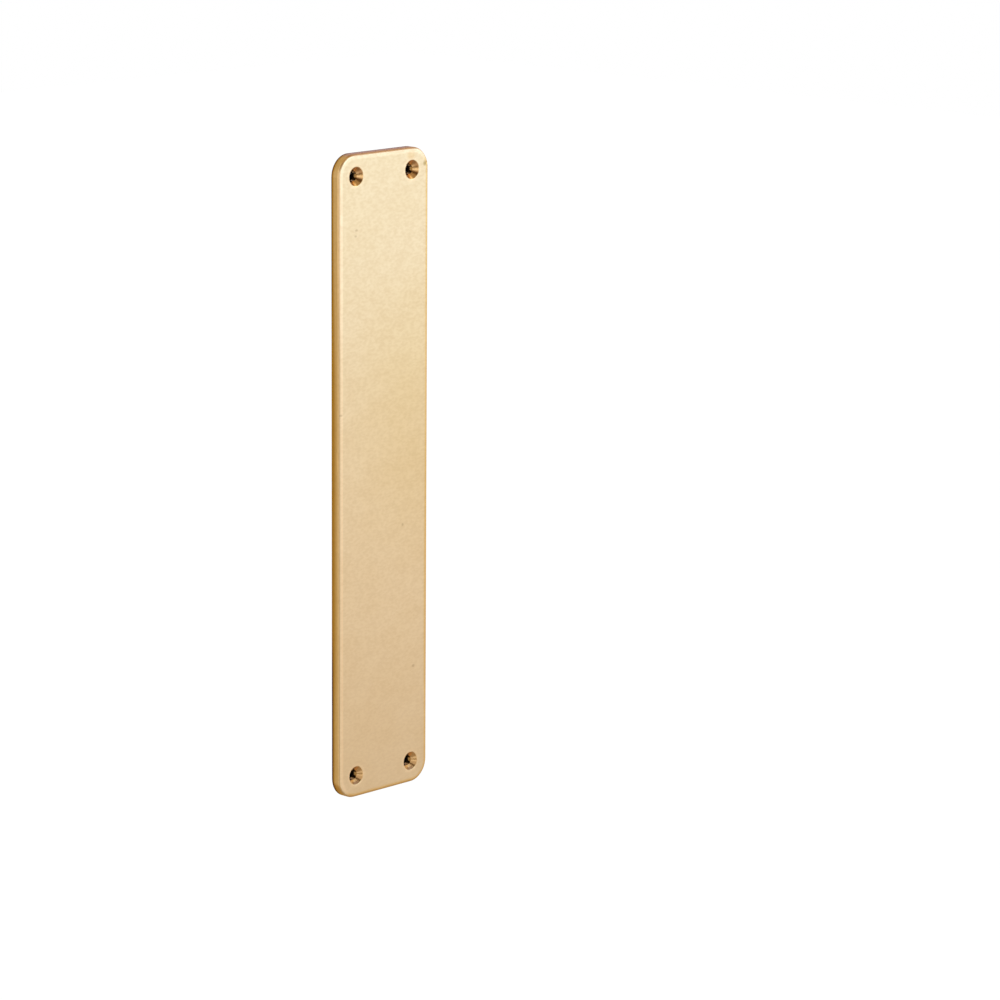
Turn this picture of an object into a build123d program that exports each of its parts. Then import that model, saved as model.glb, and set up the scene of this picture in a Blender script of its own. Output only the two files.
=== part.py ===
"""Door finger plate: one flat brass plate that is screwed upright to a door.

Four countersunk screws, one in each corner, hold the plate to the door's face.
The four corners are rounded. The front edge is eased all round, so that it is
kind to the hand, and the back edge stays sharp, to sit tight on the door.

Frame: origin at the middle of the back face. The front faces -Y, the back lies
on the door's face at Y = 0, +X runs across the plate and +Z points up.
All sizes are in millimetres.
"""
from build123d import *
import os

os.makedirs("parts", exist_ok=True)

# Plate
plate_height = 300.0
plate_width = 57.0
plate_thickness = 5.0
corner_radius = 10.0
front_edge_radius = 1.3

# Screw holes, for No. 8 (4 mm) countersunk wood screws
screw_side_margin = 10.75
screw_end_margin = 10.25
screw_hole_diameter = 4.5
countersink_diameter = 8.8
countersink_angle = 90.0
countersink_rim_radius = 0.6

# Knock in the right-hand front edge, just below the top corner
nick_below_top = 7.8
nick_ball_radius = 1.5
nick_depth = 0.25

# Hole centres follow from the plate's edges
screw_spacing_across = plate_width - 2 * screw_side_margin
screw_spacing_along = plate_height - 2 * screw_end_margin

# Both planes face out from the door: one on its face, one on the plate's front
door_plane = Plane(origin=(0, 0, 0), x_dir=(1, 0, 0), z_dir=(0, -1, 0))
front_plane = door_plane.offset(plate_thickness)

# The nick's ball stands where the flat front turns into the eased edge
nick_plane = front_plane.offset(nick_ball_radius - nick_depth)
nick_across = plate_width / 2 - front_edge_radius
nick_up = plate_height / 2 - nick_below_top

with BuildPart() as finger_plate:
    # Flat blank with rounded corners, standing off the door's face
    with BuildSketch(door_plane):
        RectangleRounded(plate_width, plate_height, corner_radius)
    extrude(amount=plate_thickness)

    # The eased edge runs once round the front face
    front_face = finger_plate.faces().sort_by(Axis.Y).first
    fillet(front_face.outer_wire().edges(), radius=front_edge_radius)

    # One countersunk hole in each corner, sunk from the front
    with Locations(front_plane):
        with GridLocations(screw_spacing_across, screw_spacing_along, 2, 2):
            CounterSinkHole(
                radius=screw_hole_diameter / 2,
                counter_sink_radius=countersink_diameter / 2,
                counter_sink_angle=countersink_angle,
            )

    # Polishing has rounded the countersinks' rims
    drilled_face = finger_plate.faces().sort_by(Axis.Y).first
    fillet(drilled_face.inner_wires().edges(), radius=countersink_rim_radius)

    # The nick is a shallow dish in the metal
    with Locations(nick_plane):
        with Locations((nick_across, nick_up)):
            Sphere(nick_ball_radius, mode=Mode.SUBTRACT)

finger_plate.part.label = "finger_plate"
export_step(finger_plate.part, "parts/finger_plate.step")
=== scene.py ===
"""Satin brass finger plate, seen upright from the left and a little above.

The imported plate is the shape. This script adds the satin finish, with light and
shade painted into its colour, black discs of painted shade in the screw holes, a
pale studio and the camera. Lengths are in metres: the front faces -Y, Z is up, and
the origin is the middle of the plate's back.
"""
import bmesh
import bpy
import math
from mathutils import Matrix, Vector

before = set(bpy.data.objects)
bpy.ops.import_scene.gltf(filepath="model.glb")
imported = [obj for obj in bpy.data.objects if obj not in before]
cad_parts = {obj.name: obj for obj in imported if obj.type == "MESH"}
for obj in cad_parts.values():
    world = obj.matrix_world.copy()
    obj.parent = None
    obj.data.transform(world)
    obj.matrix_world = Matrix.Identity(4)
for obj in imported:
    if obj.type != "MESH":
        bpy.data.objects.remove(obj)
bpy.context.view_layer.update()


# Camera
# A long lens stands to the left of the plate and looks down on it a little.
# The picture is 1000 pixels square and the plate's middle is left of its centre.
picture_side = 1000
sensor_width = 36.0
focal_length = 149.5
camera_distance = 1.913
camera_yaw = math.radians(46.26)
camera_pitch = math.radians(12.16)
camera_roll = math.radians(0.43)
plate_middle_px = (376.3, 473.7)

forward = Vector((
    math.sin(camera_yaw) * math.cos(camera_pitch),
    math.cos(camera_yaw) * math.cos(camera_pitch),
    -math.sin(camera_pitch),
))
level_right = Vector((math.cos(camera_yaw), -math.sin(camera_yaw), 0))
level_up = level_right.cross(forward)
right = math.cos(camera_roll) * level_right + math.sin(camera_roll) * level_up
up = math.cos(camera_roll) * level_up - math.sin(camera_roll) * level_right

metres_per_px = camera_distance * sensor_width / focal_length / picture_side
middle_right = (plate_middle_px[0] - picture_side / 2) * metres_per_px
middle_down = (plate_middle_px[1] - picture_side / 2) * metres_per_px
place = middle_down * up - middle_right * right - camera_distance * forward

camera = bpy.data.objects.new("camera", bpy.data.cameras.new("camera"))
camera.data.lens = focal_length
camera.data.sensor_width = sensor_width
axes = Matrix((right, up, -forward)).transposed()
camera.matrix_world = Matrix.Translation(place) @ axes.to_4x4()
bpy.context.scene.collection.objects.link(camera)
bpy.context.scene.camera = camera


# Finger plate
# One piece of solid brass, cut from bar, drilled and eased along its front edge.
# The face is satin polished across its width. Highlights are painted along the front
# of its left and top edges and round its countersinks, shade is painted on its sides,
# eased edges, countersinks and bores, and the back is duller and darker.
satin_colour = (0.822, 0.61, 0.366)
mm_per_metre = 1000

# Where the material finds the corners and the screw holes, in millimetres
corner_radius = 10.0
corner_middles = (18.5, 0.0, 140.0)
screw_middles = (17.75, 0.0, 139.75)
countersink_radius = 4.4

satin_brass = bpy.data.materials.new("satin_brass_finish")
satin_brass.use_nodes = True
nodes, links = satin_brass.node_tree.nodes, satin_brass.node_tree.links
shader = nodes["Principled BSDF"]
shader.inputs["Specular IOR Level"].default_value = 0


def feed(socket, value):
    if isinstance(value, bpy.types.NodeSocket):
        links.new(value, socket)
    else:
        socket.default_value = value


def number(operation, first, second=0.0):
    node = nodes.new("ShaderNodeMath")
    node.operation = operation
    feed(node.inputs[0], first)
    feed(node.inputs[1], second)
    return node.outputs[0]


def vector(operation, first, second=(0, 0, 0)):
    node = nodes.new("ShaderNodeVectorMath")
    node.operation = operation
    feed(node.inputs[0], first)
    feed(node.inputs[1], second)
    return node.outputs["Value" if operation == "LENGTH" else "Vector"]


def ramp(value, start, end, low=0.0, high=1.0):
    node = nodes.new("ShaderNodeMapRange")
    node.interpolation_type = "SMOOTHSTEP"
    for socket, setting in zip(node.inputs, (value, start, end, low, high)):
        feed(socket, setting)
    return node.outputs[0]


def band(value, start, full, fade, end):
    return number("MULTIPLY", ramp(value, start, full), ramp(value, end, fade))


def cloud(place_mm, stretch, scale, detail):
    stretched = vector("MULTIPLY", place_mm, stretch)
    node = nodes.new("ShaderNodeTexNoise")
    feed(node.inputs["Vector"], stretched)
    feed(node.inputs["Scale"], scale)
    feed(node.inputs["Detail"], detail)
    return node.outputs["Fac"]


def tint(colour, amount, tint_colour):
    node = nodes.new("ShaderNodeMix")
    node.data_type = "RGBA"
    node.blend_type = "MULTIPLY"
    feed(node.inputs["Factor"], amount)
    feed(node.inputs["A"], colour)
    feed(node.inputs["B"], (*tint_colour, 1))
    return node.outputs["Result"]


object_place = nodes.new("ShaderNodeTexCoord").outputs["Object"]
place_mm = vector("MULTIPLY", object_place, (mm_per_metre,) * 3)
mirrored = vector("ABSOLUTE", place_mm)
flat_place = vector("MULTIPLY", mirrored, (1, 0, 1))
beyond = vector("MAXIMUM", vector("SUBTRACT", flat_place, corner_middles))
inset = number("SUBTRACT", corner_radius, vector("LENGTH", beyond))
from_screw = vector("LENGTH", vector("SUBTRACT", flat_place, screw_middles))
split = nodes.new("ShaderNodeSeparateXYZ")
feed(split.inputs[0], place_mm)
across, depth, height = split.outputs

# The polish leaves a faint cloudiness, longer across the plate than along it
grain = cloud(place_mm, (0.55, 1, 1), 0.85, 1)
patches = cloud(place_mm, (0.6, 1, 1), 0.3, 2)
mottle = cloud(place_mm, (0.6, 1, 1), 0.07, 2)
grain_tint = (0.958, 0.943, 0.925)
patch_tint = (0.975, 0.965, 0.95)
mottle_tint = (0.985, 0.975, 0.955)
colour = tint((*satin_colour, 1), ramp(grain, 0.3, 0.7), grain_tint)
colour = tint(colour, ramp(patches, 0.3, 0.7), patch_tint)
colour = tint(colour, ramp(mottle, 0.3, 0.7), mottle_tint)

# Painted highlights run just inside the front of the left and top edges, paler and
# cooler towards the top
painted_highlight_tint = (1.12, 1.11, 1.12)
painted_top_highlight_tint = (1.02, 1.04, 1.08)
painted_top_lip_shade_tint = (0.7, 0.56, 0.48)
painted_golden_rim_shade_tint = (0.94, 0.78, 0.44)
painted_edge_shade_tint = (0.91, 0.815, 0.61)
left_and_top_edges = number("MAXIMUM", ramp(across, -20, -26), ramp(height, 142, 147))
highlight_start = ramp(height, 50, 105, 0.8, -0.8)
highlight_full = ramp(height, 50, 105, 1.4, 0.2)
highlight_band = band(inset, highlight_start, highlight_full, 1.9, 2.8)
highlight_front = number("MULTIPLY", highlight_band, ramp(depth, -3.5, -4.0))
edge_highlight = number("MULTIPLY", highlight_front, left_and_top_edges)
colour = tint(colour, edge_highlight, painted_highlight_tint)
colour = tint(colour, number("MULTIPLY", edge_highlight, ramp(height, 50, 105)), painted_top_highlight_tint)
# Painted shade darkens the front of the top edge
top_lip_shade = number("MULTIPLY", ramp(height, 148.5, 149.5), ramp(depth, -3.8, -4.4))
colour = tint(colour, top_lip_shade, painted_top_lip_shade_tint)
# The right and bottom edges get a golden painted shade instead of the highlight
right_and_bottom_front = number("MULTIPLY", ramp(left_and_top_edges, 1, 0), ramp(depth, -3.4, -4.3))
right_and_bottom_rim = number("MULTIPLY", ramp(inset, 2.6, 0.8), right_and_bottom_front)
colour = tint(colour, right_and_bottom_rim, painted_golden_rim_shade_tint)
# Painted shade darkens the outer part of every eased edge, least on the right and bottom
edge_shade = number("MULTIPLY", ramp(inset, 0.7, 0.1), ramp(right_and_bottom_front, 0, 1, 1, 0.35))
colour = tint(colour, edge_shade, painted_edge_shade_tint)

# Painted shade deepens on the sides towards the door, and ends in a painted dark line
# along the back edge, which is strongest near both ends
painted_side_shade_tint = (0.66, 0.5, 0.1)
painted_back_line_tint = (0.24, 0.11, 0.03)
reach_above = ramp(height, 20, 125, -3.8, -1.9)
reach_below = ramp(height, -60, -140, -3.8, -2.6)
near_door = ramp(depth, number("MAXIMUM", reach_above, reach_below), -0.6)
on_edge = ramp(inset, 1.2, 0.1)
colour = tint(colour, number("MULTIPLY", near_door, on_edge), painted_side_shade_tint)
near_ends = number("MAXIMUM", ramp(height, 60, 100), ramp(height, -60, -100))
line_start = ramp(height, -60, 60, -1.2, -0.8)
line_full = ramp(height, -60, 60, -0.5, -0.25)
back_shade_line = number("MULTIPLY", ramp(depth, line_start, line_full), ramp(near_ends, 0, 1, 0.15, 1))
colour = tint(colour, number("MULTIPLY", back_shade_line, ramp(inset, 0.5, 0.05)), painted_back_line_tint)

# A highlight is painted round the rims of the countersinks, and painted shade darkens
# inside them
painted_countersink_shade_tint = (0.81, 0.69, 0.53)
in_front = ramp(depth, -1.5, -2.7)
rim = number("MULTIPLY", ramp(from_screw, 4.5, 4.9), ramp(from_screw, 6.2, 5.0, 0, 0.6))
colour = tint(colour, number("MULTIPLY", in_front, rim), painted_highlight_tint)
sunk = ramp(from_screw, countersink_radius + 0.35, countersink_radius - 0.25)
in_countersink = number("MULTIPLY", in_front, sunk)
colour = tint(colour, in_countersink, painted_countersink_shade_tint)

# Reflections are painted into the countersinks by bearing: a bright glint across the
# middle, painted shade just below it and on the upper side of the top two, a painted
# bright patch low in the top two and a painted brown arc low in the bottom two.
# Bearings in a hole run from 0 at its right to 90 degrees at its top.
painted_glint_tint = (1.45, 1.45, 1.45)
painted_lower_shade_tint = (0.6, 0.48, 0.36)
painted_upper_shade_tint = (0.68, 0.57, 0.52)
painted_bright_patch_tint = (1.45, 1.4, 1.15)
painted_arc_shade_tint = (0.52, 0.46, 0.5)
hole_across = number("MULTIPLY", number("SIGN", across), screw_middles[0])
hole_height = number("MULTIPLY", number("SIGN", height), screw_middles[2])
right_of_hole = number("SUBTRACT", across, hole_across)
above_hole = number("SUBTRACT", height, hole_height)
bearing = number("DEGREES", number("ARCTAN2", above_hole, right_of_hole))
in_top_cone = number("MULTIPLY", in_countersink, ramp(height, -10, 10))
in_low_cone = number("MULTIPLY", in_countersink, ramp(height, 10, -10))
some_of_both = number("MULTIPLY", in_countersink, ramp(height, -10, 10, 0.5, 1))
streak = number("MULTIPLY", some_of_both, band(bearing, -14, -7, 7, 14))
colour = tint(colour, streak, painted_glint_tint)
below_streak = number("MULTIPLY", some_of_both, band(bearing, -50, -28, -20, -12))
colour = tint(colour, below_streak, painted_lower_shade_tint)
upper_side = number("MULTIPLY", in_top_cone, band(bearing, 12, 20, 105, 130))
outer_part = ramp(from_screw, 2.7, 3.5, 0.3, 1)
colour = tint(colour, number("MULTIPLY", upper_side, outer_part), painted_upper_shade_tint)
bright_patch = number("MULTIPLY", in_top_cone, band(bearing, -125, -105, -85, -65))
colour = tint(colour, bright_patch, painted_bright_patch_tint)
arc_middle = band(from_screw, 3.0, 3.4, 4.1, 4.5)
low_arc = number("MULTIPLY", band(bearing, -130, -110, -65, -50), arc_middle)
colour = tint(colour, number("MULTIPLY", in_low_cone, low_arc), painted_arc_shade_tint)

# Painted shade darkens the bores, and painted black fills them deeper in, with less of
# it in the upper part of the top two; where it is black the metal is taken out
painted_bore_shade_tint = (0.6, 0.52, 0.4)
painted_bore_black_tint = (0.04, 0.03, 0.02)
in_bore = number("MULTIPLY", ramp(from_screw, 2.36, 2.26), ramp(depth, -3.0, -2.85))
colour = tint(colour, in_bore, painted_bore_shade_tint)
mirrored_height = vector("MULTIPLY", mirrored, (0, 0, 1))
from_level = vector("LENGTH", mirrored_height)
off_axis = number("ABSOLUTE", number("SUBTRACT", from_level, screw_middles[2]))
shade_start = ramp(off_axis, 0.5, 1.3, -1.7, -3.2)
shade_full = ramp(off_axis, 0.5, 1.3, -0.8, -2.6)
shade_reach = number("MULTIPLY", ramp(depth, shade_start, shade_full), ramp(off_axis, 2.15, 1.75))
less_shaded_part = number("MULTIPLY", ramp(height, -10, 10), ramp(above_hole, 0.8, 1.7))
shade_left = number("MULTIPLY", shade_reach, ramp(less_shaded_part, 0, 1, 1, 0.3))
bore_black = number("MULTIPLY", in_bore, shade_left)
colour = tint(colour, bore_black, painted_bore_black_tint)
links.new(ramp(bore_black, 0, 1, 1, 0.1), shader.inputs["Metallic"])


def mark(at_mm, size_mm):
    away = vector("DIVIDE", vector("SUBTRACT", place_mm, at_mm), size_mm)
    return ramp(vector("LENGTH", away), 1, 0.2)


# Small spots and knocks on the front, where the tarnish has caught
speck_tint = (0.8, 0.76, 0.74)
knock_tint = (0.62, 0.57, 0.42)
smudge_tint = (0.97, 0.9, 0.8)
painted_right_edge_shade_tint = (0.93, 0.87, 0.7)
painted_right_side_shade_tint = (0.965, 0.945, 0.86)
specks = {
    (-17.6, -5, 115.4): (1.3, 1, 0.8),
    (-18.1, -5, 112.7): (1.1, 1, 0.8),
    (12.2, -5, -25.1): (1.05, 1, 1.0),
    (19.4, -5, -93.8): (1.4, 1, 1.1),
    (-27.5, -5, 31.5): (1.5, 1, 0.7),
}
for at_mm, size_mm in specks.items():
    colour = tint(colour, mark(at_mm, size_mm), speck_tint)
colour = tint(colour, mark((25.9, -5, 142.0), (1.6, 1, 1.6)), knock_tint)
colour = tint(colour, mark((17.0, -5, 146.3), (4, 1, 2.6)), smudge_tint)
# Painted shade darkens the lower part of the face along its right edge
colour = tint(colour, mark((28.4, -4.8, -60), (3.5, 3, 85)), painted_right_edge_shade_tint)
# Painted shade makes the right side of the face a little darker and deeper gold
colour = tint(colour, mark((30, -5, 25), (70, 20, 90)), painted_right_side_shade_tint)
# A painted highlight on the middle of the left edge
colour = tint(colour, mark((-28.5, -3.5, 10.4), (1, 0.8, 6.5)), painted_highlight_tint)

# The back is as it came from the rolls, dull and lined along its length
back_tint = (0.78, 0.7, 0.58)
rolled_line_tint = (0.86, 0.84, 0.8)
rolled_lines = cloud(place_mm, (1.4, 1.4, 0.03), 1.0, 3)
on_back = ramp(depth, -0.15, -0.05)
colour = tint(colour, on_back, back_tint)
lined_back = number("MULTIPLY", on_back, ramp(rolled_lines, 0.35, 0.65))
colour = tint(colour, lined_back, rolled_line_tint)
links.new(colour, shader.inputs["Base Color"])

# The countersinks are the smoothest part, and the rolled back is the dullest
smooth_face_roughness = 0.33
dull_face_roughness = 0.4
countersink_roughness = 0.2
back_roughness = 0.45
face_roughness = ramp(grain, 0.3, 0.7, smooth_face_roughness, dull_face_roughness)
roughness = ramp(in_countersink, 0, 1, face_roughness, countersink_roughness)
links.new(ramp(on_back, 0, 1, roughness, back_roughness), shader.inputs["Roughness"])

# Fine polishing marks, a few thousandths of a millimetre high
polish_mark_height = 0.0000025
fine_grain = cloud(place_mm, (0.12, 1, 1), 9, 2)
bump = nodes.new("ShaderNodeBump")
bump.inputs["Strength"].default_value = 1
bump.inputs["Distance"].default_value = polish_mark_height
links.new(fine_grain, bump.inputs["Height"])
links.new(bump.outputs[0], shader.inputs["Normal"])

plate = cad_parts["finger_plate"]
plate.material_slots[0].material = satin_brass


# Floor
# A wide sheet of white board lies well below the plate, which hangs above it as
# it would on a door. It takes the plate's soft shadow.
floor_level = -0.7
floor_side = 12.0
floor_white = (0.8, 0.8, 0.8, 1)
floor_lift = 0.35


def seen_directly(nodes, links):
    light_path = nodes.new("ShaderNodeLightPath")
    camera_or_gloss = nodes.new("ShaderNodeMath")
    camera_or_gloss.operation = "MAXIMUM"
    links.new(light_path.outputs["Is Camera Ray"], camera_or_gloss.inputs[0])
    links.new(light_path.outputs["Is Glossy Ray"], camera_or_gloss.inputs[1])
    any_direct = nodes.new("ShaderNodeMath")
    any_direct.operation = "MAXIMUM"
    links.new(camera_or_gloss.outputs[0], any_direct.inputs[0])
    links.new(light_path.outputs["Is Transmission Ray"], any_direct.inputs[1])
    return any_direct.outputs[0]


floor_paint = bpy.data.materials.new("floor_board_white")
floor_paint.use_nodes = True
nodes, links = floor_paint.node_tree.nodes, floor_paint.node_tree.links
nodes.clear()
matt_white = nodes.new("ShaderNodeBsdfDiffuse")
matt_white.inputs["Color"].default_value = floor_white
lift_strength = nodes.new("ShaderNodeMath")
lift_strength.operation = "MULTIPLY"
links.new(seen_directly(nodes, links), lift_strength.inputs[0])
lift_strength.inputs[1].default_value = floor_lift
lift = nodes.new("ShaderNodeEmission")
links.new(lift_strength.outputs[0], lift.inputs["Strength"])
both = nodes.new("ShaderNodeAddShader")
links.new(matt_white.outputs[0], both.inputs[0])
links.new(lift.outputs[0], both.inputs[1])
output = nodes.new("ShaderNodeOutputMaterial")
links.new(both.outputs[0], output.inputs["Surface"])


def stand_stage_piece(name, shape, paint):
    mesh = bpy.data.meshes.new(name)
    shape.to_mesh(mesh)
    shape.free()
    mesh.materials.append(paint)
    board = bpy.data.objects.new(name, mesh)
    bpy.context.scene.collection.objects.link(board)
    return board


def stand_board(name, middle, facing, size, paint):
    sheet = bmesh.new()
    bmesh.ops.create_grid(sheet, x_segments=1, y_segments=1, size=0.5)
    bmesh.ops.scale(sheet, vec=(size[0], size[1], 1), verts=sheet.verts)
    turn = Vector(facing).to_track_quat("Z", "Y").to_matrix().to_4x4()
    bmesh.ops.transform(sheet, matrix=Matrix.Translation(middle) @ turn, verts=sheet.verts)
    return stand_stage_piece(name, sheet, paint)


stand_board("floor", (0, 0, floor_level), (0, 0, 1), (floor_side, floor_side), floor_paint)


# Hole backing of painted shade
# A thin black disc stands in each screw hole, just inside its back end, as painted
# shade: the holes look dark and the white room doesn't show through. It isn't part of
# the plate: the camera alone sees it, and it shades nothing.
disc_radius = 0.0023
disc_depth = -0.0004
disc_sides = 32
painted_hole_shade_black = (0.004, 0.003, 0.002, 1)


def matt_paint(name, paint_colour):
    paint = bpy.data.materials.new(name)
    paint.use_nodes = True
    paint_shader = paint.node_tree.nodes["Principled BSDF"]
    paint_shader.inputs["Base Color"].default_value = paint_colour
    paint_shader.inputs["Roughness"].default_value = 1
    paint_shader.inputs["Specular IOR Level"].default_value = 0
    return paint


discs = bmesh.new()
facing_front = Matrix.Rotation(math.radians(90), 4, "X")
across_m = screw_middles[0] / mm_per_metre
height_m = screw_middles[2] / mm_per_metre
for side in (-1, 1):
    for end in (-1, 1):
        stand = Matrix.Translation((side * across_m, disc_depth, end * height_m)) @ facing_front
        bmesh.ops.create_circle(
            discs, cap_ends=True, segments=disc_sides, radius=disc_radius, matrix=stand
        )
backing = stand_stage_piece("painted_hole_shade", discs, matt_paint("painted_hole_shade_black", painted_hole_shade_black))
backing.visible_glossy = False
backing.visible_diffuse = False
backing.visible_shadow = False


# Studio
# Two soft lamps stand in front and to the right. Painted boards out of the
# camera's sight give the metal's edges something darker to mirror, and the room
# round them is white.
def make_lamp(name, at, aim, size, radiance, colour):
    lamp = bpy.data.objects.new(name, bpy.data.lights.new(name, "AREA"))
    lamp.data.shape = "RECTANGLE"
    lamp.data.size, lamp.data.size_y = size
    lamp.data.energy = radiance * math.pi * size[0] * size[1]
    lamp.data.color = colour
    lamp.location = at
    lamp.rotation_mode = "QUATERNION"
    lamp.rotation_quaternion = (Vector(aim) - Vector(at)).to_track_quat("-Z", "Y")
    lamp.visible_camera = False
    bpy.context.scene.collection.objects.link(lamp)


# Each lamp's place, the point it aims at, its size, its radiance and its colour
make_lamp("key_lamp", (0.38, -0.6, 0.25), (0, 0, 0.25), (1.1, 0.64), 0.5, (0.5, 0.95, 1.45))
make_lamp("high_lamp", (0.38, -0.52, 0.4), (0, 0, 0.15), (0.6, 0.25), 0.9, (0.55, 0.95, 1.4))

# Each board's middle, the way it faces, its size and its colour
board_places = {
    "board_behind_left": ((-0.565, 0.54, -0.22), (0.7, -0.7, 0), (0.46, 0.68), (0.78, 0.66, 0.37, 1)),
    "board_behind": ((-0.35, 0.8, 0.75), (0, -1, -0.3), (1.5, 1.15), (0.9, 0.78, 0.5, 1)),
    "board_behind_right": ((1.15, 0.8, 0.75), (0, -1, -0.3), (1.5, 1.15), (0.66, 0.52, 0.7, 1)),
    "board_over_camera": ((-0.68, -0.6, 0.98), (0.6, 0.65, -0.6), (1.5, 0.8), (0.28, 0.2, 0.11, 1)),
    "board_above": ((0.0, -0.075, 0.8), (0, 0, -1), (0.9, 0.85), (0.72, 0.52, 0.3, 1)),
    "board_below": ((-0.1, -0.03, -0.68), (0, 0, 1), (1.1, 0.76), (0.58, 0.48, 0.36, 1)),
    "board_below_behind": ((0.1, 0.65, -0.68), (0, 0, 1), (1.3, 0.6), (0.56, 0.36, 0.07, 1)),
    "board_low_right": ((1.0, -0.4, -0.68), (0, 0, 1), (1.1, 2.1), (0.69, 0.62, 0.55, 1)),
    "board_low_left": ((-1.9, -1.4, -0.68), (0, 0, 1), (2.4, 2.4), (0.5, 0.44, 0.35, 1)),
}
for name, (middle, facing, size, board_colour) in board_places.items():
    board = stand_board(name, middle, facing, size, matt_paint(name + "_paint", board_colour))
    board.visible_camera = False
    board.visible_diffuse = False
    board.visible_shadow = False

room_strength = 0.85
white_wall_strength = 1
world = bpy.data.worlds.new("studio")
world.use_nodes = True
nodes, links = world.node_tree.nodes, world.node_tree.links
room_light = nodes["Background"]
room_light.inputs["Color"].default_value = (1, 1, 1, 1)
room_light.inputs["Strength"].default_value = room_strength
white_wall = nodes.new("ShaderNodeBackground")
white_wall.inputs["Color"].default_value = (1, 1, 1, 1)
white_wall.inputs["Strength"].default_value = white_wall_strength
wall_mix = nodes.new("ShaderNodeMixShader")
links.new(seen_directly(nodes, links), wall_mix.inputs[0])
links.new(room_light.outputs[0], wall_mix.inputs[1])
links.new(white_wall.outputs[0], wall_mix.inputs[2])
links.new(wall_mix.outputs[0], nodes["World Output"].inputs["Surface"])
bpy.context.scene.world = world

bpy.context.scene.view_settings.view_transform = "Standard"
